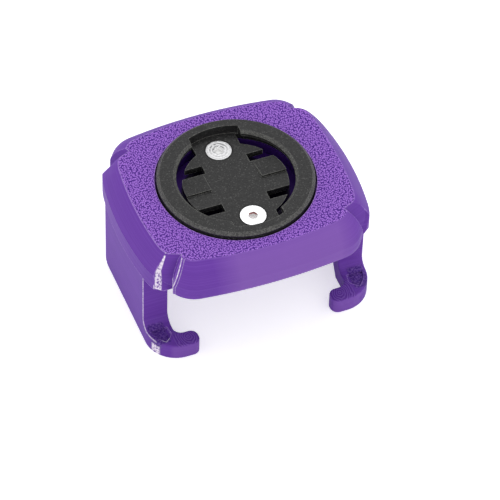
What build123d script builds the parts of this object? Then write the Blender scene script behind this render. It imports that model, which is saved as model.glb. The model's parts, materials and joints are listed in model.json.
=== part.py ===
from build123d import *
from math import cos, radians, sin, sqrt
import os

os.makedirs("parts", exist_ok=True)

# Clip-on bracket with a quarter-turn socket, in millimetres.
# The origin is on the socket's axis, in the plane that the feet stand on. +Z is up, -Y is the hook side.

# Plate and skirt: plan points are (x, y) of the edge's end and of the shoulder where its bow tightens
plate_top = 30.0
plate_thickness = 7.2
top_reach_side = 24.35
top_reach_front = 21.2
top_side_shoulder = (23.6, 11.9)
top_side_end = (22.65, 14.95)
top_front_shoulder = (17.2, 19.43)
top_front_end = (19.5, 18.0)
crease_reach_side = 28.2
crease_reach_front = 25.12
crease_side_shoulder = (27.05, 13.2)
crease_side_end = (26.1, 16.5)
crease_front_shoulder = (17.4, 24.0)
crease_front_end = (22.3, 20.8)
crease_drop = 5.0
rim_drop = 9.4
front_roll_radius = 2.1
front_roll_flat = 0.5
recess_margin = 2.6
recess_corner_radius = 8.0

# Flare above the crease: shares of the crease's drop, of the side's flare and of the front's flare
flare_levels = [(0.0, 0.0, 0.0), (0.24, 0.30, 0.42), (0.5, 0.56, 0.71), (0.74, 0.78, 0.89), (1.0, 1.0, 1.0)]
# Heights above the rim's bottom at which the rim is sectioned, in front roll radii
roll_levels = [1.5, 1.0, 0.6, 0.25]

# Corner strips: (distance, share of the rim's drop) across the recessed strip and along it to its step
strip_bearing = 67.0
strip_profile = [(23.0, 0.0), (23.6, 0.14), (24.15, 0.27), (24.8, 0.47), (25.15, 0.7), (24.9, 0.89), (24.4, 1.0)]
step_profile = [(11.35, 0.0), (12.05, 0.11), (12.65, 0.31), (13.05, 0.5), (13.25, 0.74), (13.15, 1.0)]
strip_block_length = 22.0
strip_block_reach = 40.0
cut_overrun = 1.0

# Side walls
wall_outer = 27.1
wall_thickness = 3.0
wall_front = -12.4
wall_back = 12.0
wall_back_radius = 1.8

# Front legs
leg_inner = 21.0
leg_depth = 3.2
lead_in_height = 3.9
lead_in_depth = 2.2

# Hooked feet
foot_height = 4.0
foot_front = -21.5
foot_outer_radius = 7.4
lip_inner = 16.2
lip_depth = 4.1
lip_corner_radius = 1.8
lip_root_radius = 2.0
foot_rib_radius = 2.4
hook_edge_radius = 0.4
dish_depth = 0.45
dish_margin = 1.1
dish_reach = 4.6

# Socket insert
insert_radius = 18.0
insert_seat_depth = 2.6
insert_rise = 1.45
insert_edge_chamfer = 0.68
mouth_radius = 13.5
mouth_bevel = 0.62
lip_underside = 0.2
groove_radius = 15.2
notch_half_width = 6.0
notch_depth = 0.25
floor_radius = 12.1
arm_half_width = 5.35
arm_overlap = 0.3
slot_inner = 5.4
slot_near = 4.93
slot_far = 7.4
slot_overrun = 0.5
ramp_rise = 0.55
ramp_crest = -0.6
ramp_inner = 6.1

# Pocket for the insert in the plate
pocket_gap = 0.4
relief_depth = 2.6
relief_gap = 0.35

# Screws and nuts
screw_offset = 10.62
screw_radius = 1.5
screw_length = 6.0
head_radius = 2.97
head_edge = 0.08
tip_chamfer = 0.3
socket_across_flats = 2.0
socket_depth = 1.2
screw_clearance = 0.1
seat_clearance = 0.04
nut_across_flats = 5.5
nut_height = 2.4
nut_bore_clearance = 0.05
nut_side_clearance = 0.1
nut_recess = 0.3
nut_corner_bevel = 0.35

# Worked-out heights
plate_underside = plate_top - plate_thickness
rim_bottom = plate_top - rim_drop
insert_base = plate_top - insert_seat_depth
floor_thickness = head_radius + head_edge - screw_radius
insert_floor = insert_base + floor_thickness
insert_top = plate_top + insert_rise
screw_tip = insert_floor - screw_length
nut_top = plate_underside + nut_recess + nut_height
notch_radius = groove_radius + notch_depth
arm_radius = groove_radius + arm_overlap


def blend(start, end, share):
    """Point between two plan points."""
    return (start[0] + (end[0] - start[0]) * share, start[1] + (end[1] - start[1]) * share)


def crown_section(drop, side_share, front_share, front_setback=0.0):
    """Plan outline of the crown at one drop below the plate's top face: bowed edges with tighter ends."""
    side_shoulder = blend(top_side_shoulder, crease_side_shoulder, side_share)
    side_end = blend(top_side_end, crease_side_end, side_share)
    side_reach = top_reach_side + (crease_reach_side - top_reach_side) * side_share
    shoulder_x, shoulder_y = blend(top_front_shoulder, crease_front_shoulder, front_share)
    end_x, end_y = blend(top_front_end, crease_front_end, front_share)
    front_reach = top_reach_front + (crease_reach_front - top_reach_front) * front_share - front_setback
    shoulder_y -= front_setback
    end_y -= front_setback
    with BuildSketch(Plane.XY.offset(plate_top - drop)) as section:
        with BuildLine():
            for turn in (1, -1):
                side = ThreePointArc(
                    (turn * side_shoulder[0], -turn * side_shoulder[1]),
                    (turn * side_reach, 0),
                    (turn * side_shoulder[0], turn * side_shoulder[1]),
                )
                front = ThreePointArc(
                    (turn * shoulder_x, turn * shoulder_y),
                    (0, turn * front_reach),
                    (-turn * shoulder_x, turn * shoulder_y),
                )
                side_corner = (turn * side_end[0], turn * side_end[1])
                front_corner = (turn * end_x, turn * end_y)
                TangentArc(side @ 0, (turn * side_end[0], -turn * side_end[1]), tangent=-(side % 0))
                TangentArc(side @ 1, side_corner, tangent=side % 1)
                Line(side_corner, front_corner)
                TangentArc(front @ 0, front_corner, tangent=-(front % 0))
                TangentArc(front @ 1, (-turn * end_x, turn * end_y), tangent=front % 1)
                Line((-turn * end_x, turn * end_y), (-turn * side_end[0], turn * side_end[1]))
        make_face()
    return section.sketch


def roll_setback(drop):
    """How far the rounded foot of the front and back skirt has turned in at one drop."""
    below = drop - (rim_drop - front_roll_radius)
    if below <= 0:
        return 0.0
    return front_roll_radius - sqrt(front_roll_radius ** 2 - below ** 2)


# Corner notch: the wedge of skirt that is cut away in front of one corner strip
strip_cosine = cos(radians(strip_bearing))
strip_sine = sin(radians(strip_bearing))
strip_plane = Plane(
    origin=(0, 0, plate_top),
    x_dir=(strip_cosine, strip_sine, 0),
    z_dir=(strip_sine, -strip_cosine, 0),
)
step_plane = Plane(
    origin=(0, 0, plate_top),
    x_dir=(strip_sine, -strip_cosine, 0),
    z_dir=(-strip_cosine, -strip_sine, 0),
)


def cut_face(profile, reach):
    """Region of a vertical plane beyond a curved profile of (distance, share of the rim's drop) points."""
    top = profile[0][0]
    bottom = profile[-1][0]
    with BuildSketch() as region:
        with BuildLine():
            edge = Spline(*[(distance, -share * rim_drop) for distance, share in profile])
            Polyline(
                edge @ 1,
                (bottom, -rim_drop - cut_overrun),
                (reach, -rim_drop - cut_overrun),
                (reach, cut_overrun),
                (top, cut_overrun),
                edge @ 0,
            )
        make_face()
    return region.sketch


side_start = Vector(top_side_end[0], top_side_end[1], plate_top)
side_crease = Vector(crease_side_end[0], crease_side_end[1], plate_top - crease_drop)
side_step = Plane(origin=side_start, z_dir=(side_crease - side_start).cross(Vector(-1, 0, 0)))

with BuildPart() as corner_notch:
    with BuildSketch(strip_plane):
        add(cut_face(strip_profile, strip_block_reach))
    extrude(amount=strip_block_length)
    with BuildSketch(step_plane):
        add(cut_face(step_profile, strip_block_length))
    extrude(amount=-strip_block_reach, mode=Mode.INTERSECT)
    split(bisect_by=side_step, keep=Keep.TOP)

# Crown: flared skirt above the crease, near-vertical rim below it
flare_sections = [crown_section(level * crease_drop, side, front) for level, side, front in flare_levels]
rim_sections = [crown_section(crease_drop, 1.0, 1.0)]
for level in roll_levels:
    roll_drop = rim_drop - level * front_roll_radius
    rim_sections.append(crown_section(roll_drop, 1.0, 1.0, roll_setback(roll_drop)))
rim_sections.append(crown_section(rim_drop, 1.0, 1.0, front_roll_radius - front_roll_flat))

with BuildPart() as crown:
    loft(flare_sections)
    loft(rim_sections)
    add(corner_notch.part, mode=Mode.SUBTRACT)
    add(corner_notch.part.mirror(Plane.XZ), mode=Mode.SUBTRACT)
    add(corner_notch.part.mirror(Plane.YZ), mode=Mode.SUBTRACT)
    add(corner_notch.part.mirror(Plane.YZ).mirror(Plane.XZ), mode=Mode.SUBTRACT)


# One side of the clip: side wall, front leg and hooked foot
wall_inner = wall_outer - wall_thickness
wall_overlap = 1.6
wall_top = plate_underside + wall_overlap
leg_back = wall_front + leg_depth
lip_back = foot_front + lip_depth
foot_join = 0.8
rib_front = wall_front - foot_rib_radius

with BuildPart() as clip_side:
    # Front leg and hooked foot: side profile with a concave root, cut to the plan of leg and foot
    with BuildSketch(Plane.YZ):
        with BuildLine():
            FilletPolyline(
                (leg_back, 0),
                (leg_back, wall_top),
                (wall_front, wall_top),
                (wall_front, foot_height),
                (foot_front, foot_height),
                (foot_front, 0),
                radius=[0, 0, 0, foot_rib_radius, 0, 0],
                close=True,
            )
        make_face()
    extrude(amount=wall_outer)
    with BuildSketch(Plane.XY) as hook_plan:
        with BuildLine():
            FilletPolyline(
                (leg_inner, leg_back),
                (wall_outer, leg_back),
                (wall_outer, foot_front),
                (lip_inner, foot_front),
                (lip_inner, lip_back),
                (leg_inner, lip_back),
                radius=[0, 0, foot_outer_radius, lip_corner_radius, lip_corner_radius, lip_root_radius],
                close=True,
            )
        make_face()
    extrude(amount=wall_top, mode=Mode.INTERSECT)
    # Rounded edge down both sides of the leg and right round the top of the foot
    skin_edges = clip_side.edges().filter_by_position(Axis.Z, foot_height - 0.1, wall_top)
    skin_edges = skin_edges.filter_by_position(Axis.Y, foot_front - 0.1, wall_front + 0.1)
    inner_edges = skin_edges.filter_by(Axis.X).filter_by_position(Axis.Y, rib_front - 0.1, wall_front + 0.1)
    fillet(skin_edges - inner_edges, radius=hook_edge_radius)
    # Side wall
    with BuildSketch(Plane.YZ.offset(wall_inner)):
        with BuildLine():
            FilletPolyline(
                (leg_back - foot_join, 0),
                (wall_back, 0),
                (wall_back, wall_top),
                (leg_back - foot_join, wall_top),
                radius=[0, wall_back_radius, 0, 0],
                close=True,
            )
        make_face()
    extrude(amount=wall_thickness)
    # Slanted lead-in behind the foot of the leg
    with BuildSketch(Plane.YZ.offset(leg_inner)):
        with BuildLine():
            Polyline(
                (leg_back - lead_in_depth, 0),
                (leg_back, lead_in_height),
                (leg_back, 0),
                close=True,
            )
        make_face()
    extrude(amount=wall_inner - leg_inner, mode=Mode.SUBTRACT)
    # Shallow dish in the foot's top, between the leg's root and the lip
    with BuildSketch(Plane.XY.offset(foot_height)):
        add(offset(hook_plan.sketch, amount=-dish_margin, mode=Mode.PRIVATE))
        with Locations((wall_outer - dish_margin, rib_front)):
            Circle(dish_reach, mode=Mode.INTERSECT)
        with Locations((wall_outer, rib_front)):
            Rectangle(4 * dish_reach, dish_reach, align=(Align.CENTER, Align.MAX), mode=Mode.INTERSECT)
    extrude(amount=-dish_depth, mode=Mode.SUBTRACT)

# Bracket: crown, recess under the plate, both clip sides, pocket for the insert
recess_half_length = top_reach_front - recess_margin
pocket_radius = insert_radius + pocket_gap
relief_radius = groove_radius - relief_gap

with BuildPart() as bracket:
    add(crown.part)
    with BuildSketch(Plane.XY.offset(rim_bottom)):
        RectangleRounded(2 * wall_inner, 2 * recess_half_length, recess_corner_radius)
    extrude(amount=plate_underside - rim_bottom, mode=Mode.SUBTRACT)
    add(clip_side.part)
    add(clip_side.part.mirror(Plane.YZ))
    with BuildSketch(Plane.XY.offset(plate_top)):
        Circle(pocket_radius)
    extrude(amount=-insert_seat_depth, mode=Mode.SUBTRACT)
    # Relief on both sides, that the socket's spring tabs bend down into
    with BuildSketch(Plane.XY.offset(insert_base)):
        Circle(relief_radius)
        Rectangle(2 * arm_half_width, 2 * relief_radius, mode=Mode.SUBTRACT)
    extrude(amount=-relief_depth, mode=Mode.SUBTRACT)
    # Screw holes and nut pockets
    with Locations((0, screw_offset, insert_base), (0, -screw_offset, insert_base)):
        Hole(screw_radius + screw_clearance, depth=plate_thickness)
    with BuildSketch(Plane.XY.offset(plate_underside)):
        with Locations((0, screw_offset), (0, -screw_offset)):
            RegularPolygon(nut_across_flats / 2 + nut_side_clearance, 6, major_radius=False)
    extrude(amount=nut_height + nut_recess, mode=Mode.SUBTRACT)
bracket.part.label = "bracket"
export_step(bracket.part, "parts/bracket.step")

# Quarter-turn insert: ring, floor with two arms, slots, spring tabs with ramps
with BuildPart() as ramps:
    with BuildSketch(Plane.YZ.offset(ramp_inner)):
        with BuildLine():
            Polyline(
                (ramp_crest, insert_floor - floor_thickness / 2),
                (ramp_crest, insert_floor + ramp_rise),
                (slot_near, insert_floor),
                (slot_near, insert_floor - floor_thickness / 2),
                close=True,
            )
        make_face()
    extrude(amount=floor_radius - ramp_inner)
    mirror(about=Plane.YZ)
    with BuildSketch(Plane.XY.offset(insert_base)):
        Circle(floor_radius)
    extrude(amount=insert_seat_depth + insert_rise, mode=Mode.INTERSECT)

with BuildPart() as quarter_turn_insert:
    # Ring, with the overhanging lip that holds a unit's tabs down
    with BuildSketch(Plane.XZ):
        with BuildLine():
            Polyline(
                (groove_radius, insert_base),
                (insert_radius, insert_base),
                (insert_radius, insert_top - insert_edge_chamfer),
                (insert_radius - insert_edge_chamfer, insert_top),
                (mouth_radius + mouth_bevel, insert_top),
                (mouth_radius, insert_top - mouth_bevel),
                (mouth_radius, plate_top + lip_underside),
                (groove_radius, plate_top + lip_underside),
                close=True,
            )
        make_face()
    revolve(axis=Axis.Z)
    # Entry notches through the lip, front and back
    with BuildSketch(Plane.XY.offset(insert_floor)):
        Circle(notch_radius)
        Rectangle(2 * notch_half_width, 2 * notch_radius, mode=Mode.INTERSECT)
    extrude(amount=insert_top - insert_floor, mode=Mode.SUBTRACT)
    # Floor disc and its two arms
    with BuildSketch(Plane.XY.offset(insert_base)):
        Rectangle(2 * arm_half_width, 2 * arm_radius)
        Circle(arm_radius, mode=Mode.INTERSECT)
        Circle(floor_radius)
    extrude(amount=floor_thickness)
    add(ramps.part)
    # Slots that free the two spring tabs
    slot_length = floor_radius - slot_inner + slot_overrun
    with BuildSketch(Plane.XY.offset(insert_base)):
        with GridLocations(2 * slot_inner + slot_length, slot_near + slot_far, 2, 2):
            Rectangle(slot_length, slot_far - slot_near)
    extrude(amount=floor_thickness + ramp_rise, mode=Mode.SUBTRACT)
    # Countersunk screw holes
    with Locations((0, screw_offset, insert_floor), (0, -screw_offset, insert_floor)):
        CounterSinkHole(
            radius=screw_radius + screw_clearance,
            counter_sink_radius=head_radius + head_edge + seat_clearance,
            depth=floor_thickness,
            counter_sink_angle=90,
        )
quarter_turn_insert.part.label = "quarter_turn_insert"
export_step(quarter_turn_insert.part, "parts/quarter_turn_insert.step")

# Countersunk socket screws
with BuildPart() as screw:
    with BuildSketch(Plane.XZ):
        with BuildLine():
            Polyline(
                (0, insert_floor),
                (head_radius, insert_floor),
                (head_radius, insert_floor - head_edge),
                (screw_radius, insert_base),
                (screw_radius, screw_tip + tip_chamfer),
                (screw_radius - tip_chamfer, screw_tip),
                (0, screw_tip),
                close=True,
            )
        make_face()
    revolve(axis=Axis.Z)
    with BuildSketch(Plane.XY.offset(insert_floor)):
        RegularPolygon(socket_across_flats / 2, 6, major_radius=False)
    extrude(amount=-socket_depth, mode=Mode.SUBTRACT)

with BuildPart() as insert_screws:
    with Locations((0, screw_offset, 0), (0, -screw_offset, 0)):
        add(screw.part)
insert_screws.part.label = "insert_screws"
export_step(insert_screws.part, "parts/insert_screws.step")

# Hexagon nuts that the screws pull up into the plate
with BuildPart() as nut:
    with BuildSketch(Plane.XY.offset(nut_top)):
        RegularPolygon(nut_across_flats / 2, 6, major_radius=False)
    extrude(amount=-nut_height)
    with BuildSketch(Plane.XZ):
        with BuildLine():
            Polyline(
                (0, nut_top),
                (nut_across_flats / 2, nut_top),
                (nut_across_flats / 2 + nut_corner_bevel, nut_top - nut_corner_bevel),
                (nut_across_flats / 2 + nut_corner_bevel, nut_top - nut_height + nut_corner_bevel),
                (nut_across_flats / 2, nut_top - nut_height),
                (0, nut_top - nut_height),
                close=True,
            )
        make_face()
    revolve(axis=Axis.Z, mode=Mode.INTERSECT)
    with Locations((0, 0, nut_top)):
        Hole(screw_radius + nut_bore_clearance, depth=nut_height)

with BuildPart() as lock_nuts:
    with Locations((0, screw_offset, 0), (0, -screw_offset, 0)):
        add(nut.part)
lock_nuts.part.label = "lock_nuts"
export_step(lock_nuts.part, "parts/lock_nuts.step")
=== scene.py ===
"""Looks of a clip-on bracket with a quarter-turn socket for a bicycle computer.

The bracket is a fused-filament print in purple PLA. It was printed plate down on a textured sheet,
so its plate is pebbled, its skirt and walls carry fine layer lines, and the tops of its hooked
feet, which were printed over supports, are scarred. The socket is one black moulded nylon piece,
held by two countersunk steel screws with hexagon sockets, which pull on two steel nuts under the
plate.
"""

from __future__ import annotations

import json
import logging
import math
from dataclasses import dataclass
from enum import Enum

import bmesh
import bpy
from mathutils import Matrix, Vector

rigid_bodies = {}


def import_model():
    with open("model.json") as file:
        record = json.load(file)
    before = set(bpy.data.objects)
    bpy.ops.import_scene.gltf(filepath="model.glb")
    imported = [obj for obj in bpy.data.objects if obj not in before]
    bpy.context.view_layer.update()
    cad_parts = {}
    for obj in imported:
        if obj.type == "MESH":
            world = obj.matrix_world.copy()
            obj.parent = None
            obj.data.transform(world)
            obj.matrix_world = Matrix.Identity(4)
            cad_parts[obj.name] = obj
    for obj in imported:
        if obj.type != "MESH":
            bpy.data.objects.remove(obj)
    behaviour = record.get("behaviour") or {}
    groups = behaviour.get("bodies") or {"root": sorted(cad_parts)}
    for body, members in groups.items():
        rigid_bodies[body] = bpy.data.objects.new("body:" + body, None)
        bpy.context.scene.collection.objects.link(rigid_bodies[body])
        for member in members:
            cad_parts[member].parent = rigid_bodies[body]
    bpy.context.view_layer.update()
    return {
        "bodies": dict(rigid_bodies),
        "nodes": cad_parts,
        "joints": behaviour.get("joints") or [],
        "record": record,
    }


log = logging.getLogger("bracket_scene")

Socket = bpy.types.NodeSocket
Inputs = tuple | dict[str, object]
Coat = tuple[Socket | float, Socket | str]
# Two values of a place or pattern and, unless they are zero and one, the levels that they give
Ramp = tuple[float, ...]

MM = 0.001
PLATE_HEIGHT = 30.0 * MM
SCREW_OFFSET = 10.62 * MM
HEAD_HEIGHT = 28.95 * MM
# Period of Blender's wave texture at a scale of one
WAVE_PERIOD = math.pi / 10
EDGE_SAMPLES = 8
ROUNDING_SAMPLES = 6


def srgb(code: str) -> tuple[float, float, float, float]:
    """Turn an sRGB hex code into a linear colour.

    Args:
        code: Six hexadecimal digits with a leading hash.

    Returns:
        Linear red, green and blue with an alpha of one.
    """
    channels = (int(code[i : i + 2], 16) / 255 for i in (1, 3, 5))
    linear = (c / 12.92 if c <= 0.04045 else ((c + 0.055) / 1.055) ** 2.4 for c in channels)
    return (*linear, 1.0)


def add_node(
    tree: bpy.types.NodeTree, kind: str, inputs: Inputs = (), **settings: object
) -> bpy.types.Node:
    """Add one node with its settings and links.

    Args:
        tree: Node tree that gets the node.
        kind: Blender's identifier of the node type.
        inputs: A number, vector, hex colour or output for each socket, by the sockets' names or
            in the order of those that are in use.
        **settings: Properties of the node itself.

    Returns:
        The new node.
    """
    node = tree.nodes.new(kind)
    for name, setting in settings.items():
        setattr(node, name, setting)
    if isinstance(inputs, dict):
        pairs = [(node.inputs[name], value) for name, value in inputs.items()]
    else:
        pairs = list(zip([socket for socket in node.inputs if socket.enabled], inputs))
    for socket, value in pairs:
        if isinstance(value, Socket):
            tree.links.new(value, socket)
        else:
            socket.default_value = srgb(value) if isinstance(value, str) else value
    return node


class Slot(Enum):
    """Material slots of the record."""

    PRINT = "printed_plastic"
    MOULDED = "moulded_plastic"
    SCREW = "screw_steel"
    NUT = "nut_steel"


@dataclass(frozen=True)
class Patch:
    """One box of the bracket where the print's skin differs, with soft sides.

    Attributes:
        low: Lowest corner in millimetres.
        high: Highest corner in millimetres.
        soft: Width of the fade at each side in millimetres.
        mirrored: Whether the bracket's left side has the same box as its right.
    """

    low: tuple[float, float, float]
    high: tuple[float, float, float]
    soft: float
    mirrored: bool = False


class Finish:
    """One node material that is put together step by step."""

    def __init__(self, name: str) -> None:
        """Make the empty node material.

        Args:
            name: The material's name.
        """
        self.material = bpy.data.materials.new(name)
        self.material.use_nodes = True
        self.tree = self.material.node_tree
        self.tree.nodes.clear()
        self.where = self.add("ShaderNodeTexCoord", take="Object")
        self.x, self.y, self.z = add_node(self.tree, "ShaderNodeSeparateXYZ", (self.where,)).outputs

    def add(self, kind: str, *inputs: object, take: str = "", **settings: object) -> Socket:
        """Add one node and give one of its outputs.

        Args:
            kind: Blender's identifier of the node type.
            *inputs: What goes into the sockets that are in use, in their order.
            take: Name of the output, if it isn't the first one in use.
            **settings: Properties of the node itself.

        Returns:
            The output.
        """
        outputs = add_node(self.tree, kind, inputs, **settings).outputs
        if take:
            return outputs[take]
        return next(output for output in outputs if output.enabled)

    def product(self, first: Socket, *others: Socket | float) -> Socket:
        """Multiply a mask or pattern by others, or by shares of one.

        Args:
            first: The mask or pattern.
            *others: What it is multiplied by.

        Returns:
            The product.
        """
        for other in others:
            first = self.add("ShaderNodeMath", first, other, operation="MULTIPLY")
        return first

    def largest(self, first: Socket, *others: Socket | float) -> Socket:
        """Join masks into one that is full wherever one of them is.

        Args:
            first: The first mask.
            *others: The masks that are joined to it.

        Returns:
            The joined mask.
        """
        for other in others:
            first = self.add("ShaderNodeMath", first, other, operation="MAXIMUM")
        return first

    def outside(self, mask: Socket) -> Socket:
        """Mask of all the surface that another mask leaves out."""
        return self.add("ShaderNodeMath", 1.0, mask, operation="SUBTRACT")

    def painted(self, colour: Socket | str, *coats: Coat) -> Socket:
        """Lay coats over a colour, one after the other.

        Args:
            colour: What is under the coats, a hex code or an output.
            *coats: The share that each coat covers, and its colour.

        Returns:
            The colour that shows.
        """
        for share, coat in coats:
            colour = self.add("ShaderNodeMix", share, colour, coat, data_type="RGBA")
        return colour

    def distance(self, across: Socket, along: Socket) -> Socket:
        """Distance from an upright axis.

        Args:
            across: How far a point is from it in one direction, in metres.
            along: How far in the other.

        Returns:
            The distance in metres.
        """
        square = self.product(across, across)
        both = self.add("ShaderNodeMath", along, along, square, operation="MULTIPLY_ADD")
        return self.add("ShaderNodeMath", both, operation="SQRT")

    def beyond_screw(self) -> Socket:
        """How far out a point is from the axis of the nearer screw, along the row of screws."""
        outward = self.add("ShaderNodeMath", self.y, operation="ABSOLUTE")
        return self.add("ShaderNodeMath", outward, SCREW_OFFSET, operation="SUBTRACT")

    def normal(self, axis: str) -> Socket:
        """Share of the flat surface's normal along one axis, X, Y or Z."""
        facing = self.add("ShaderNodeNewGeometry", take="True Normal")
        return self.add("ShaderNodeSeparateXYZ", facing, take=axis)

    def cells(self, width: float) -> Socket:
        """Crisp cells of one width in metres, each with its own random level."""
        colour = self.add("ShaderNodeTexVoronoi", self.where, 1 / width, take="Color")
        return self.add("ShaderNodeSeparateColor", colour)

    def edges(self, radius: float, turn: Ramp) -> Socket:
        """Mask of the sharp outer and inner edges, from how far a bevel would turn the surface.

        Args:
            radius: Reach of the mask on both sides of an edge in metres.
            turn: Turns at which the mask starts and is full.

        Returns:
            The mask between zero and one.
        """
        bevel = self.add("ShaderNodeBevel", radius, samples=EDGE_SAMPLES)
        flat = self.add("ShaderNodeNewGeometry", take="Normal")
        along = self.add("ShaderNodeVectorMath", bevel, flat, operation="DOT_PRODUCT")
        return self.add("ShaderNodeMapRange", self.outside(along), *turn)

    def patch(self, box: Patch) -> Socket:
        """Mask of one soft-sided box.

        Args:
            box: Where the mask is full.

        Returns:
            The mask between zero and one.
        """
        across = self.x
        if box.mirrored:
            across = self.add("ShaderNodeMath", across, operation="ABSOLUTE")
        sides = []
        for place, low, high in zip((across, self.y, self.z), box.low, box.high):
            rise = ((low - box.soft) * MM, low * MM)
            fall = (high * MM, (high + box.soft) * MM, 1.0, 0.0)
            sides.append(self.add("ShaderNodeMapRange", place, *rise))
            sides.append(self.add("ShaderNodeMapRange", place, *fall))
        return self.product(*sides)

    def finish(self, inputs: dict[str, object], height: Socket, bevel: float) -> bpy.types.Material:
        """Close the material with relief, rounded edges and the surface shader.

        Args:
            inputs: Inputs of the surface shader.
            height: Relief in metres.
            bevel: Radius that the edges are shaded with in metres.

        Returns:
            The finished material.
        """
        rounded = self.add("ShaderNodeBevel", bevel, samples=ROUNDING_SAMPLES)
        relief = {"Height": height, "Strength": 1.0, "Distance": 1.0, "Normal": rounded}
        bump = add_node(self.tree, "ShaderNodeBump", relief).outputs[0]
        shader = add_node(self.tree, "ShaderNodeBsdfPrincipled", {**inputs, "Normal": bump})
        add_node(self.tree, "ShaderNodeOutputMaterial", {"Surface": shader.outputs[0]})
        return self.material


@dataclass(frozen=True)
class PrintedPla:
    """Purple PLA, fused-filament printed with its plate down on a textured steel sheet.

    The plate copies the sheet's pebbles, painted lighter on their tops as highlights and darker in
    their grooves as shade. The skirt and walls show the layers as fine contour lines and streaks,
    and faces that hung over supports are scarred, the dishes also painted darker as shade in their
    hollows. Edges get pale painted highlights, and the front left corner and the left foot get
    near-white painted glare. The front of the skirt and of the feet is painted paler as a sheen, and
    the pocket under the socket is painted indigo as shade.
    """

    filament: str = "#6F40A9"
    filament_dark: str = "#663AA0"
    filament_light: str = "#8A5CC4"
    filament_deep: str = "#4F2B85"
    # Painted sheen on the front of the skirt and of the feet
    filament_sheen: str = "#8A61B7"
    # Pebble colours: painted highlights on their tops and painted shade in their grooves
    pebble_groove_shade: str = "#4B2287"
    pebble_top_highlight: str = "#AA75DF"
    # Painted highlight of the edges and of the first layer's line
    edge_highlight: str = "#B592DE"
    # Darker scar tone, partly a painted shade of the dishes' hollows
    scar_dark_and_shade: str = "#492781"
    scar_light: str = "#8C66BC"
    # Near-white painted glare, also used for the painted highlight lines
    painted_glare: str = "#F6EAFC"
    # Painted shade of the pocket under the socket, near black inside and lighter at its rim
    pocket: str = "#160A2C"
    pocket_rim_shade: str = "#3C1B72"
    roughness: float = 0.55
    # Less than the plain 0.5: the layer grooves scatter most of what a smooth skin would mirror
    specular: float = 0.12
    rounding: float = 0.12 * MM
    # The plate's face is pebbled, and ends where the crown of its edge starts
    plate_face: Ramp = (PLATE_HEIGHT - 0.06 * MM, PLATE_HEIGHT - 0.02 * MM)
    # The sheet's pebbles are a little under half a millimetre apart, two pixels of the view
    pebble_width: float = 0.43 * MM
    pebble_disorder: float = 0.85
    pebble_slope: Ramp = (0.2, 0.55, 1.0, 0.0)
    pebble_depth: float = 0.022 * MM
    # The filament's colour drifts slowly over the whole print
    drift_width: float = 9 * MM
    drift_detail: float = 2.0
    # Real layers are 0.2 mm, under a pixel on the walls, so they are drawn a half coarser
    layer_height: float = 0.3 * MM
    layer_wander: float = 0.1
    layer_detail: float = 1.0
    layer_share: float = 0.1
    layer_depth: float = 0.004 * MM
    streak_length: float = 120 * MM
    pale_streaks: Ramp = (0.5, 0.75, 0.0, 0.22)
    deep_streaks: Ramp = (0.25, 0.5, 0.18, 0.0)
    # The front of the skirt and of the feet is painted paler, a painted sheen
    sheen_skirt: Patch = Patch((-8.0, -30.0, 19.0), (16.0, -19.0, 29.0), 6.0)
    sheen_feet: Patch = Patch((-28.0, -30.0, -1.0), (28.0, -20.9, 3.6), 0.5)
    sheen_share: float = 0.72
    sheen_feet_share: float = 0.6
    # The top of each hooked lip shows the last layers' outlines as contour lines
    lip_centre: tuple[float, float] = (18.6 * MM, -19.2 * MM)
    lip_squeeze: float = 0.7
    lip_pitch: float = 0.5 * MM
    lip_wander: float = 7.0
    lip_detail: float = 2.0
    lip_ridges: Ramp = (0.55, 0.95, 0.0, 0.5)
    lip_grooves: Ramp = (0.1, 0.4, 0.5, 0.0)
    lip_bottom: Ramp = (3.7 * MM, 3.9 * MM)
    lip_top: Ramp = (4.6 * MM, 5.0 * MM, 1.0, 0.0)
    lip_back: Ramp = (-16.0 * MM, -15.6 * MM, 1.0, 0.0)
    lip_outside: Ramp = (21.8 * MM, 22.2 * MM, 1.0, 0.0)
    # The dish in the top of each foot hung over supports and is rough, and it is painted darker,
    # partly as a painted shade of the hollow
    dishes: Patch = Patch((22.9, -19.0, 2.6), (26.3, -13.4, 4.3), 0.5, mirrored=True)
    scar_width: float = 0.4 * MM
    scar_detail: float = 3.0
    scar_tones: Ramp = (0.42, 0.8)
    scar_depth: float = 0.09 * MM
    # Edges get pale painted highlights where the layers end, in short broken dashes
    dash_width: float = 0.5 * MM
    dash_detail: float = 1.0
    dash_tones: Ramp = (0.3, 0.6, 0.25, 0.85)
    edge_reach: float = 0.4 * MM
    edge_turn: Ramp = (0.01, 0.09)
    # Of a dish's outline only the front shows, with near-white painted glare on the left foot
    dish_behind: Ramp = (-18.0 * MM, -17.2 * MM)
    dish_front: Patch = Patch((-26.3, -20.4, 2.2), (-21.5, -18.4, 4.4), 0.4)
    dish_front_share: float = 0.9
    # The first layer was squeezed out round the plate, and a thin pale painted highlight runs along
    # it, clearest on the left and faint along the front
    first_layer: Ramp = (PLATE_HEIGHT - 0.22 * MM, PLATE_HEIGHT - 0.12 * MM)
    first_layer_left: Ramp = (-18 * MM, -8 * MM, 0.75, 0.2)
    first_layer_back: Ramp = (-17 * MM, -15 * MM, 0.2, 1.0)
    # The left leg's rounded outer edge gets a pale painted highlight. The measure of its turn peaks
    # at a quarter
    leg_edge: Patch = Patch((-28.0, -18.6, 3.7), (-26.0, -12.0, 22.0), 0.2)
    leg_edge_turn: Ramp = (0.12, 0.24)
    leg_edge_share: float = 0.85
    highlight_line_lift: float = 0.1
    # The front left corner's strip: the way it faces, and the painted highlight lines down the step
    # at its right
    strip_bearing: float = math.radians(67)
    step_line: Ramp = (24 * MM, PLATE_HEIGHT, 13.2 * MM, 11.3 * MM)
    step_line_width: Ramp = (0.06 * MM, 0.16 * MM, 1.0, 0.0)
    second_line_offset: float = 0.55 * MM
    second_line_width: Ramp = (0.03 * MM, 0.12 * MM, 0.4, 0.0)
    step_place: Patch = Patch((-27.0, -30.0, 21.0), (-12.0, -8.0, 29.8), 0.2)
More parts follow.
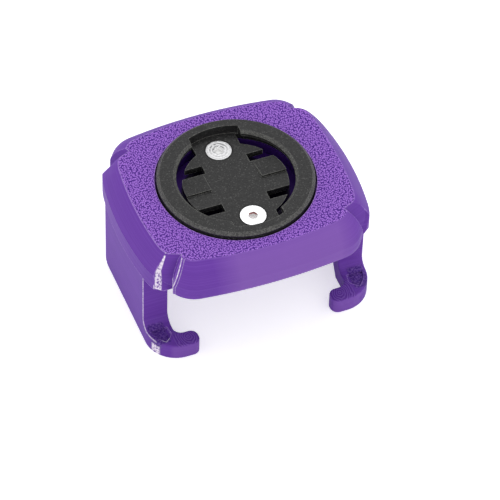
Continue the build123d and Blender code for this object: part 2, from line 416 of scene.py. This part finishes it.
    # Near-white painted glare along the seam at the left of the same strip, wider downwards
    seam_line: Ramp = (26 * MM, PLATE_HEIGHT, 16.5 * MM, 14.9 * MM)
    seam_width: Ramp = (24.5 * MM, 29.6 * MM, 0.75 * MM, 0.16 * MM)
    seam_side: Ramp = (0.8, 1.15, 1.0, 0.0)
    seam_place: Patch = Patch((-27.0, -21.0, 21.0), (-16.0, -8.0, 29.8), 0.2)
    # Near-white painted glare on the left foot's outer front
    foot_glare: Patch = Patch((-27.2, -18.6, 0.2), (-25.2, -17.0, 2.6), 0.4)
    fleck_width: float = 0.5 * MM
    fleck_detail: float = 3.0
    fleck_tones: Ramp = (0.36, 0.52)
    # Painted shade in the pocket under the socket: its height and radius, and its rim, painted in a
    # lighter shade
    pocket_bottom: Ramp = (22.9 * MM, 23.2 * MM)
    pocket_top: Ramp = (28.6 * MM, 28.9 * MM, 1.0, 0.0)
    pocket_radius: Ramp = (15.3 * MM, 15.4 * MM, 1.0, 0.0)
    pocket_rim_radius: Ramp = (12.1 * MM, 12.7 * MM)

    def plate_pebbles(self, skin: Finish) -> Socket:
        """Height of the plate's pebbles.

        Args:
            skin: The finish that they belong to.

        Returns:
            The height, zero in the grooves and one at the tops.
        """
        scale = 1 / self.pebble_width
        inputs = {"Vector": skin.where, "Scale": scale, "Randomness": self.pebble_disorder}
        cell = add_node(skin.tree, "ShaderNodeTexVoronoi", inputs, voronoi_dimensions="2D")
        return skin.add("ShaderNodeMapRange", cell.outputs["Distance"], *self.pebble_slope)

    def along_strip(self, skin: Finish) -> Socket:
        """Distance along the front left corner's strip, growing to the left.

        Args:
            skin: The finish that it belongs to.

        Returns:
            The distance in metres.
        """
        turned = skin.product(skin.x, -math.sin(self.strip_bearing))
        turn = math.cos(self.strip_bearing)
        return skin.add("ShaderNodeMath", skin.y, turn, turned, operation="MULTIPLY_ADD")

    def seam_glare(self, skin: Finish) -> Socket:
        """Mask of the painted glare along the seam at the left of the corner's strip.

        Args:
            skin: The finish that it belongs to.

        Returns:
            The mask between zero and one.
        """
        line = skin.add("ShaderNodeMapRange", skin.z, *self.seam_line)
        off = skin.add("ShaderNodeMath", self.along_strip(skin), line, operation="SUBTRACT")
        off = skin.add("ShaderNodeMath", off, operation="ABSOLUTE")
        width = skin.add("ShaderNodeMapRange", skin.z, *self.seam_width)
        share = skin.add("ShaderNodeMath", off, width, operation="DIVIDE")
        band = skin.add("ShaderNodeMapRange", share, *self.seam_side)
        return skin.product(band, skin.patch(self.seam_place))

    def step_highlight_lines(self, skin: Finish) -> Socket:
        """Mask of the two painted highlight lines down the step at the right of the corner's strip.

        Args:
            skin: The finish that it belongs to.

        Returns:
            The mask between zero and one.
        """
        line = skin.add("ShaderNodeMapRange", skin.z, *self.step_line)
        off = skin.add("ShaderNodeMath", self.along_strip(skin), line, operation="SUBTRACT")
        beside = skin.add("ShaderNodeMath", off, self.second_line_offset, operation="ADD")
        lines = []
        for place, width in ((off, self.step_line_width), (beside, self.second_line_width)):
            near = skin.add("ShaderNodeMath", place, operation="ABSOLUTE")
            lines.append(skin.add("ShaderNodeMapRange", near, *width))
        return skin.product(skin.largest(*lines), skin.patch(self.step_place))

    def leg_edge_highlight(self, skin: Finish) -> Socket:
        """Mask of the painted highlight down the left leg's rounded outer corner.

        Args:
            skin: The finish that it belongs to.

        Returns:
            The mask between zero and one.
        """
        sideways = skin.normal("X")
        square = skin.product(sideways, sideways)
        turn = skin.product(square, skin.outside(square))
        rounded = skin.add("ShaderNodeMapRange", turn, *self.leg_edge_turn)
        return skin.product(rounded, skin.patch(self.leg_edge))

    def body_colour(self, skin: Finish, layers: Socket) -> Socket:
        """Colour of the skirt, the walls, the legs and the feet, without their edges.

        Args:
            skin: The finish that it belongs to.
            layers: Pattern of the layers.

        Returns:
            The colour.
        """
        drift = skin.add("ShaderNodeTexNoise", skin.where, 1 / self.drift_width, self.drift_detail)
        flat = 1 / self.streak_length
        stretch = {"Vector": skin.where, "Scale": (flat, flat, 1 / self.layer_height)}
        stretched = add_node(skin.tree, "ShaderNodeMapping", stretch).outputs[0]
        streaks = skin.add("ShaderNodeTexNoise", stretched, 1.0)
        feet = skin.product(skin.patch(self.sheen_feet), self.sheen_feet_share)
        painted_sheen = skin.largest(skin.patch(self.sheen_skirt), feet)
        return skin.painted(
            self.filament_dark,
            (drift, self.filament),
            (skin.product(layers, self.layer_share), self.filament_light),
            (skin.add("ShaderNodeMapRange", streaks, *self.pale_streaks), self.filament_light),
            (skin.add("ShaderNodeMapRange", streaks, *self.deep_streaks), self.filament_deep),
            # Painted sheen over the front of the skirt and of the feet
            (skin.product(painted_sheen, self.sheen_share), self.filament_sheen),
        )

    def lip_coat(self, skin: Finish, colour: Socket) -> Coat:
        """Contour lines round the top of each hooked lip.

        Args:
            skin: The finish that they belong to.
            colour: What is under them.

        Returns:
            The mask of the lips' tops and the colour with the lines.
        """
        across = skin.add("ShaderNodeMath", skin.x, operation="ABSOLUTE")
        folded = skin.add("ShaderNodeCombineXYZ", across, skin.y, skin.z)
        place = (-self.lip_centre[0], -self.lip_centre[1] * self.lip_squeeze, 0.0)
        squeeze = {"Vector": folded, "Location": place, "Scale": (1.0, self.lip_squeeze, 0.0)}
        centred = add_node(skin.tree, "ShaderNodeMapping", squeeze).outputs[0]
        rings = (centred, WAVE_PERIOD / self.lip_pitch, self.lip_wander, self.lip_detail)
        kind = {"wave_type": "RINGS", "rings_direction": "SPHERICAL"}
        contours = skin.add("ShaderNodeTexWave", *rings, take="Fac", **kind)
        lips = skin.product(
            skin.add("ShaderNodeMapRange", skin.z, *self.lip_bottom),
            skin.add("ShaderNodeMapRange", skin.z, *self.lip_top),
            skin.add("ShaderNodeMapRange", skin.y, *self.lip_back),
            skin.add("ShaderNodeMapRange", across, *self.lip_outside),
        )
        lined = skin.painted(
            colour,
            (skin.add("ShaderNodeMapRange", contours, *self.lip_ridges), self.scar_light),
            (skin.add("ShaderNodeMapRange", contours, *self.lip_grooves), self.filament_deep),
        )
        return lips, lined

    def edge_coats(self, skin: Finish, plate: Socket, rough: Socket) -> list[Coat]:
        """Coats of the painted highlights on edges and lines, and of the near-white painted glare.

        Args:
            skin: The finish that they belong to.
            plate: Mask of the plate's face.
            rough: Mask of the dishes in the feet.

        Returns:
            The coats in the order in which they lie.
        """
        dashes = skin.add("ShaderNodeTexNoise", skin.where, 1 / self.dash_width, self.dash_detail)
        broken = skin.add("ShaderNodeMapRange", dashes, *self.dash_tones)
        behind = skin.add("ShaderNodeMapRange", skin.y, *self.dish_behind)
        shown = skin.outside(skin.product(rough, behind))
        edges = skin.product(skin.edges(self.edge_reach, self.edge_turn), shown)
        dish_rim_glare = skin.product(edges, skin.patch(self.dish_front), self.dish_front_share)
        first_layer = skin.product(
            skin.add("ShaderNodeMapRange", skin.z, *self.first_layer),
            skin.outside(plate),
            skin.add("ShaderNodeMapRange", skin.x, *self.first_layer_left),
            skin.add("ShaderNodeMapRange", skin.y, *self.first_layer_back),
            broken,
        )
        # Painted highlight down the left leg's rounded outer edge
        leg_edge = skin.product(self.leg_edge_highlight(skin), self.leg_edge_share)
        highlight_dashes = skin.add("ShaderNodeMath", broken, self.highlight_line_lift, operation="ADD")
        highlight_lines = skin.product(skin.largest(leg_edge, self.step_highlight_lines(skin)), highlight_dashes)
        flecks = skin.add("ShaderNodeTexNoise", skin.where, 1 / self.fleck_width, self.fleck_detail)
        flecks = skin.add("ShaderNodeMapRange", flecks, *self.fleck_tones)
        painted_glare = skin.product(skin.largest(self.seam_glare(skin), skin.patch(self.foot_glare)), flecks)
        return [
            # Painted highlights on the edges, in broken dashes
            (skin.product(edges, broken), self.edge_highlight),
            # Near-white painted glare on the front of the left foot's dish
            (dish_rim_glare, self.painted_glare),
            # Painted highlight along the first layer's line
            (first_layer, self.edge_highlight),
            # Painted highlight lines of the leg and the step, in near-white
            (highlight_lines, self.painted_glare),
            # Near-white painted glare on the corner's seam and the left foot
            (painted_glare, self.painted_glare),
        ]

    def pocket_shade_coat(self, skin: Finish) -> Coat:
        """Painted indigo shade of the pocket under the socket.

        Args:
            skin: The finish that it belongs to.

        Returns:
            The mask of the pocket and its colour.
        """
        radius = skin.distance(skin.x, skin.y)
        shade_in_pocket = skin.product(
            skin.add("ShaderNodeMapRange", skin.z, *self.pocket_bottom),
            skin.add("ShaderNodeMapRange", skin.z, *self.pocket_top),
            skin.add("ShaderNodeMapRange", radius, *self.pocket_radius),
        )
        rim = skin.add("ShaderNodeMapRange", radius, *self.pocket_rim_radius)
        return shade_in_pocket, skin.painted(self.pocket, (rim, self.pocket_rim_shade))

    def build(self) -> bpy.types.Material:
        """Build the node material.

        Returns:
            The finished material.
        """
        skin = Finish("purple_pla_print")
        plate = skin.add("ShaderNodeMapRange", skin.z, *self.plate_face)
        pebbles = self.plate_pebbles(skin)
        waves = (skin.where, WAVE_PERIOD / self.layer_height, self.layer_wander, self.layer_detail)
        layers = skin.add("ShaderNodeTexWave", *waves, take="Fac", bands_direction="Z")
        scars = skin.add("ShaderNodeTexNoise", skin.where, 1 / self.scar_width, self.scar_detail)
        rough = skin.patch(self.dishes)

        # The pebbles are painted lighter on their tops and darker in their grooves, painted light
        # and shade
        pebbled = skin.painted(self.pebble_groove_shade, (pebbles, self.pebble_top_highlight))
        colour = skin.painted(self.body_colour(skin, layers), (plate, pebbled))
        scar_tones = skin.add("ShaderNodeMapRange", scars, *self.scar_tones)
        scarred = skin.painted(self.scar_dark_and_shade, (scar_tones, self.scar_light))
        colour = skin.painted(
            colour,
            self.lip_coat(skin, colour),
            # Scarred dishes, painted darker partly as shade in their hollows
            (rough, scarred),
            *self.edge_coats(skin, plate, rough),
            # Painted shade in the pocket under the socket
            self.pocket_shade_coat(skin),
        )

        height = skin.product(pebbles, plate, self.pebble_depth)
        scar_height = skin.product(rough, self.scar_depth)
        for relief, depth in ((scars, scar_height), (layers, self.layer_depth)):
            height = skin.add("ShaderNodeMath", relief, depth, height, operation="MULTIPLY_ADD")
        surface = {"Roughness": self.roughness, "Specular IOR Level": self.specular}
        return skin.finish({"Base Color": colour, **surface}, height, self.rounding)


@dataclass(frozen=True)
class MouldedNylon:
    """Black glass-filled nylon, injection moulded.

    The mould's spark-eroded finish gives a fine grey grain and a soft sheen, with sparse pale cells
    painted on as glints. The chamfers and sharp edges get speckled grey painted highlights, and thin
    rings round the screws' heads are painted in full shade.
    """

    black: str = "#101011"
    grey: str = "#2A2A2A"
    # Painted glints
    glints: str = "#6A6A68"
    # Painted highlight grey of the chamfers and edges
    highlight_grey: str = "#8C8C88"
    shaded: str = "#020202"
    roughness: float = 0.5
    specular: float = 0.35
    rounding: float = 0.1 * MM
    # Spark erosion leaves grains of about 0.1 mm, drawn at one pixel of the view
    grain_width: float = 0.22 * MM
    grain_depth: float = 0.012 * MM
    # Sparse pale cells, painted glints on the grain
    glint_tones: Ramp = (0.9, 0.96, 0.0, 0.3)
    speckle_width: float = 0.18 * MM
    speckle_tones: Ramp = (0.3, 0.9, 0.25, 1.0)
    # Upward share of a chamfer's normal, and how far from it the painted highlight reaches
    chamfer_lean: float = 0.707
    chamfer_highlight: Ramp = (0.05, 0.15, 0.45, 0.0)
    edge_reach: float = 0.3 * MM
    edge_turn: Ramp = (0.02, 0.1)
    edge_share: float = 0.8
    screw_shade: Ramp = (3.3 * MM, 3.45 * MM, 0.97, 0.0)

    def build(self) -> bpy.types.Material:
        """Build the node material.

        Returns:
            The finished material.
        """
        skin = Finish("black_moulded_nylon")
        grain = skin.cells(self.grain_width)
        glints = skin.add("ShaderNodeMapRange", grain, *self.glint_tones)
        lean = skin.add("ShaderNodeMath", skin.normal("Z"), self.chamfer_lean, operation="SUBTRACT")
        lean = skin.add("ShaderNodeMath", lean, operation="ABSOLUTE")
        chamfers = skin.add("ShaderNodeMapRange", lean, *self.chamfer_highlight)
        edges = skin.product(skin.edges(self.edge_reach, self.edge_turn), self.edge_share)
        cells = skin.cells(self.speckle_width)
        speckle = skin.add("ShaderNodeMapRange", cells, *self.speckle_tones)
        around = skin.distance(skin.x, skin.beyond_screw())
        colour = skin.painted(
            self.black,
            (grain, self.grey),
            # Painted glints on the grain
            (glints, self.glints),
            # Painted highlights on the chamfers and edges, in speckles
            (skin.product(skin.largest(chamfers, edges), speckle), self.highlight_grey),
            (skin.add("ShaderNodeMapRange", around, *self.screw_shade), self.shaded),
        )
        surface = {"Roughness": self.roughness, "Specular IOR Level": self.specular}
        height = skin.product(grain, self.grain_depth)
        return skin.finish({"Base Color": colour, **surface}, height, self.rounding)


@dataclass(frozen=True)
class TurnedSteel:
    """Stainless steel, cold headed and turned, with faint rings left by the tool.

    The front head is bright. Both key sockets are painted white below the head's face, a painted
    glare, and the front socket has a painted reddish reflection on its far wall. The rear head is
    duller and scratched in arcs by the key.
    """

    steel: str = "#EDEDEE"
    steel_dull: str = "#B9B9BB"
    # Painted glare in the key sockets
    glare: str = "#FFFFFF"
    scratch: str = "#5E5E60"
    # Painted reddish reflection in the front key socket
    reflection_red: str = "#9C3A34"
    roughness: float = 0.22
    roughness_rear: float = 0.15
    roughness_blotches: float = 0.2
    # The punched socket is matt, so it scatters the light that reaches it
    metallic_socket: float = 0.2
    metallic_face: float = 0.8
    rounding: float = 0.08 * MM
    ring_pitch: float = 0.7 * MM
    ring_wander: float = 0.5 * MM
    ring_depth: float = 0.01 * MM
    blotch_width: float = 0.5 * MM
    blotch_detail: float = 3.0
    head_face: Ramp = (HEAD_HEIGHT - 0.1 * MM, HEAD_HEIGHT - 0.05 * MM)
    rear_side: Ramp = (0.0, 1 * MM)
    rear_dullness: float = 0.6
    arc_rings: Ramp = (-0.3, 0.8)
    arc_breaks: Ramp = (0.38, 0.52)
    arc_far_side: Ramp = (-0.6 * MM, 0.8 * MM, 0.35, 1.0)
    arc_radius: Ramp = (1.8 * MM, 2.7 * MM, 1.0, 0.3)
    # A painted reddish reflection lies on the far wall of the front socket, near its mouth
    reflection_wall: Ramp = (0.1 * MM - SCREW_OFFSET, 0.4 * MM - SCREW_OFFSET)
    reflection_height: Ramp = (HEAD_HEIGHT - 0.8 * MM, HEAD_HEIGHT - 0.6 * MM)
    reflection_share: float = 0.85

    def build(self) -> bpy.types.Material:
        """Build the node material.

        Returns:
            The finished material.
        """
        skin = Finish("turned_stainless_steel")
        across = skin.beyond_screw()
        radius = skin.distance(skin.x, across)
        rear = skin.add("ShaderNodeMapRange", skin.y, *self.rear_side)
        face = skin.add("ShaderNodeMapRange", skin.z, *self.head_face)
        sunk = skin.outside(face)
        scale = 1 / self.blotch_width
        blotches = skin.add("ShaderNodeTexNoise", skin.where, scale, self.blotch_detail)
        spread = (blotches, self.ring_wander, radius)
        wander = skin.add("ShaderNodeMath", *spread, operation="MULTIPLY_ADD")
        phase = skin.product(wander, math.tau / self.ring_pitch)
        rings = skin.add("ShaderNodeMath", phase, operation="SINE")
        arcs = skin.product(
            skin.add("ShaderNodeMapRange", rings, *self.arc_rings),
            skin.add("ShaderNodeMapRange", blotches, *self.arc_breaks),
            skin.add("ShaderNodeMapRange", across, *self.arc_far_side),
            skin.add("ShaderNodeMapRange", radius, *self.arc_radius),
            rear,
        )
        reddish_reflection = skin.product(
            sunk,
            skin.add("ShaderNodeMapRange", skin.y, *self.reflection_wall),
            skin.add("ShaderNodeMapRange", skin.z, *self.reflection_height),
            skin.add("ShaderNodeMath", self.reflection_share, rear, operation="SUBTRACT"),
        )
        colour = skin.painted(
            self.steel,
            (skin.product(rear, self.rear_dullness), self.steel_dull),
            (arcs, self.scratch),
            # The key sockets are painted white, a painted glare
            (sunk, self.glare),
            # Painted reddish reflection on the front socket's far wall
            (reddish_reflection, self.reflection_red),
        )
        mix = {"operation": "MULTIPLY_ADD"}
        matt = skin.add("ShaderNodeMath", rear, self.roughness_rear, self.roughness, **mix)
        matt = skin.add("ShaderNodeMath", blotches, self.roughness_blotches, matt, **mix)
        metallic = skin.add("ShaderNodeMath", face, self.metallic_face, self.metallic_socket, **mix)
        relief = skin.add("ShaderNodeMath", rings, blotches, operation="ADD")
        surface = {"Base Color": colour, "Metallic": metallic, "Roughness": matt}
        return skin.finish(surface, skin.product(relief, self.ring_depth), self.rounding)


@dataclass(frozen=True)
class WhitePaper:
    """White seamless paper, lit to white, which keeps the object's shadow."""

    paper: str = "#F2F2F2"
    glow: float = 0.55

    def build(self) -> bpy.types.Material:
        """Build the node material.

        Returns:
            The finished material.
        """
        sheet = Finish("white_seamless_paper")
        rays = add_node(sheet.tree, "ShaderNodeLightPath").outputs
        kinds = ("Is Camera Ray", "Is Glossy Ray", "Is Transmission Ray")
        seen = sheet.product(sheet.largest(*(rays[kind] for kind in kinds)), self.glow)
        diffuse = sheet.add("ShaderNodeBsdfDiffuse", self.paper)
        glow = add_node(sheet.tree, "ShaderNodeEmission", {"Strength": seen}).outputs[0]
        lit = sheet.add("ShaderNodeAddShader", diffuse, glow)
        # From underneath the paper is clear, so that the underside can be looked at
        behind = sheet.add("ShaderNodeNewGeometry", take="Backfacing")
        below = sheet.product(behind, rays["Is Camera Ray"])
        clear = sheet.add("ShaderNodeBsdfTransparent")
        surface = sheet.add("ShaderNodeMixShader", below, lit, clear)
        add_node(sheet.tree, "ShaderNodeOutputMaterial", {"Surface": surface})
        return sheet.material


@dataclass(frozen=True)
class Softbox:
    """One square area lamp that faces the plate.

    Attributes:
        name: The lamp's name.
        place: Where its centre hangs, in metres.
        size: Side of its square in metres.
        power: Radiant power in watts.
    """

    name: str
    place: tuple[float, float, float]
    size: float
    power: float

    def hang(self, aim: Vector) -> None:
        """Create the lamp.

        Args:
            aim: Point that it faces.
        """
        lamp = bpy.data.lights.new(self.name, "AREA")
        lamp.size = self.size
        lamp.energy = self.power
        holder = bpy.data.objects.new(self.name, lamp)
        holder.location = self.place
        holder.rotation_euler = (aim - Vector(self.place)).to_track_quat("-Z", "Y").to_euler()
        bpy.context.scene.collection.objects.link(holder)


@dataclass(frozen=True)
class Studio:
    """Floor, lamps, world and the camera at the photograph's angle."""

    # The camera's place and lens, fitted to the photograph's frame of 500 by 500 pixels
    azimuth: float = math.radians(-23.283)
    elevation: float = math.radians(48.505)
    roll: float = math.radians(2.05)
    distance: float = 757.35 * MM
    shift_right: float = 3.758 * MM
    shift_up: float = -15.836 * MM
    focal_pixels: float = 3355.58
    frame_pixels: float = 500.0
    sensor: float = 36.0
    nearest: float = 0.01
    floor_size: float = 3.0
    # The room is a little brighter towards the lamp overhead than away from it
    sky_axis: tuple[float, float, float] = (0.4, 0.3, 0.87)
    sky_levels: Ramp = (-0.3, 0.8, 0.8, 1.0)
    lamps: tuple[Softbox, ...] = (
        Softbox("overhead_softbox", (0.2, 0.35, 0.9), 0.7, 2.5),
        Softbox("left_softbox", (-0.95, 0.0, 0.1), 0.5, 1.8),
        Softbox("front_softbox", (0.2, -0.9, 0.2), 0.6, 1.6),
    )

    def place_camera(self) -> None:
        """Create the camera and make it the scene's."""
        sin_a, cos_a = math.sin(self.azimuth), math.cos(self.azimuth)
        sin_e, cos_e = math.sin(self.elevation), math.cos(self.elevation)
        back = Vector((sin_a * cos_e, -cos_a * cos_e, sin_e))
        right = Vector((cos_a, sin_a, 0.0))
        up = back.cross(right)
        aim = Vector((0.0, 0.0, PLATE_HEIGHT)) + right * self.shift_right + up * self.shift_up
        turned_right = right * math.cos(self.roll) + up * math.sin(self.roll)
        turned_up = up * math.cos(self.roll) - right * math.sin(self.roll)
        camera = bpy.data.objects.new("camera", bpy.data.cameras.new("camera"))
        camera.data.sensor_width = self.sensor
        camera.data.lens = self.focal_pixels / self.frame_pixels * self.sensor
        camera.data.clip_start = self.nearest
        basis = Matrix((turned_right, turned_up, back)).transposed().to_4x4()
        camera.matrix_world = Matrix.Translation(aim + back * self.distance) @ basis
        bpy.context.scene.collection.objects.link(camera)
        bpy.context.scene.camera = camera

    def lay_floor(self) -> None:
        """Lay the paper that the feet stand on."""
        mesh = bpy.data.meshes.new("paper_floor")
        shape = bmesh.new()
        bmesh.ops.create_grid(shape, x_segments=1, y_segments=1, size=self.floor_size / 2)
        shape.to_mesh(mesh)
        shape.free()
        floor = bpy.data.objects.new("paper_floor", mesh)
        floor.data.materials.append(WhitePaper().build())
        bpy.context.scene.collection.objects.link(floor)

    def light(self) -> None:
        """Light the object softly: a white room that is brightest overhead, and the lamps."""
        world = bpy.data.worlds.new("studio")
        world.use_nodes = True
        tree = world.node_tree
        tree.nodes.clear()
        where = add_node(tree, "ShaderNodeTexCoord").outputs["Generated"]
        axes = (where, self.sky_axis)
        towards = add_node(tree, "ShaderNodeVectorMath", axes, operation="DOT_PRODUCT")
        levels = (towards.outputs["Value"], *self.sky_levels)
        level = add_node(tree, "ShaderNodeMapRange", levels).outputs[0]
        sky = add_node(tree, "ShaderNodeBackground", {"Strength": level}).outputs[0]
        add_node(tree, "ShaderNodeOutputWorld", {"Surface": sky})
        bpy.context.scene.world = world
        for lamp in self.lamps:
            lamp.hang(Vector((0.0, 0.0, PLATE_HEIGHT)))
        bpy.context.scene.view_settings.view_transform = "Standard"

    def build(self) -> None:
        """Set up the whole studio."""
        self.place_camera()
        self.lay_floor()
        self.light()


@dataclass(frozen=True)
class SubPart:
    """One packed sub-part, which keeps its own mesh and gets its finish here.

    Attributes:
        node: Its name in the frame.
        slot: The record's slot that it belongs to; not used.
    """

    node: str
    slot: Slot

    def dress(self, frame: dict, material: bpy.types.Material) -> None:
        """Give the sub-part its finish.

        Args:
            material: The finish to show.
        """
        piece = frame["nodes"][self.node]
        piece.data.materials.clear()
        piece.data.materials.append(material)
        log.info("dressed %s with %s", self.node, material.name)


def main() -> None:
    """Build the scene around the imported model."""
    logging.basicConfig(level=logging.INFO, format="%(name)s: %(message)s")
    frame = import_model()
    Studio().build()
    SubPart("bracket", Slot.PRINT).dress(frame, PrintedPla().build())
    SubPart("quarter_turn_insert", Slot.MOULDED).dress(frame, MouldedNylon().build())
    steel = TurnedSteel().build()
    for part in (SubPart("insert_screws", Slot.SCREW), SubPart("lock_nuts", Slot.NUT)):
        part.dress(frame, steel)


if __name__ == "__main__":
    main()
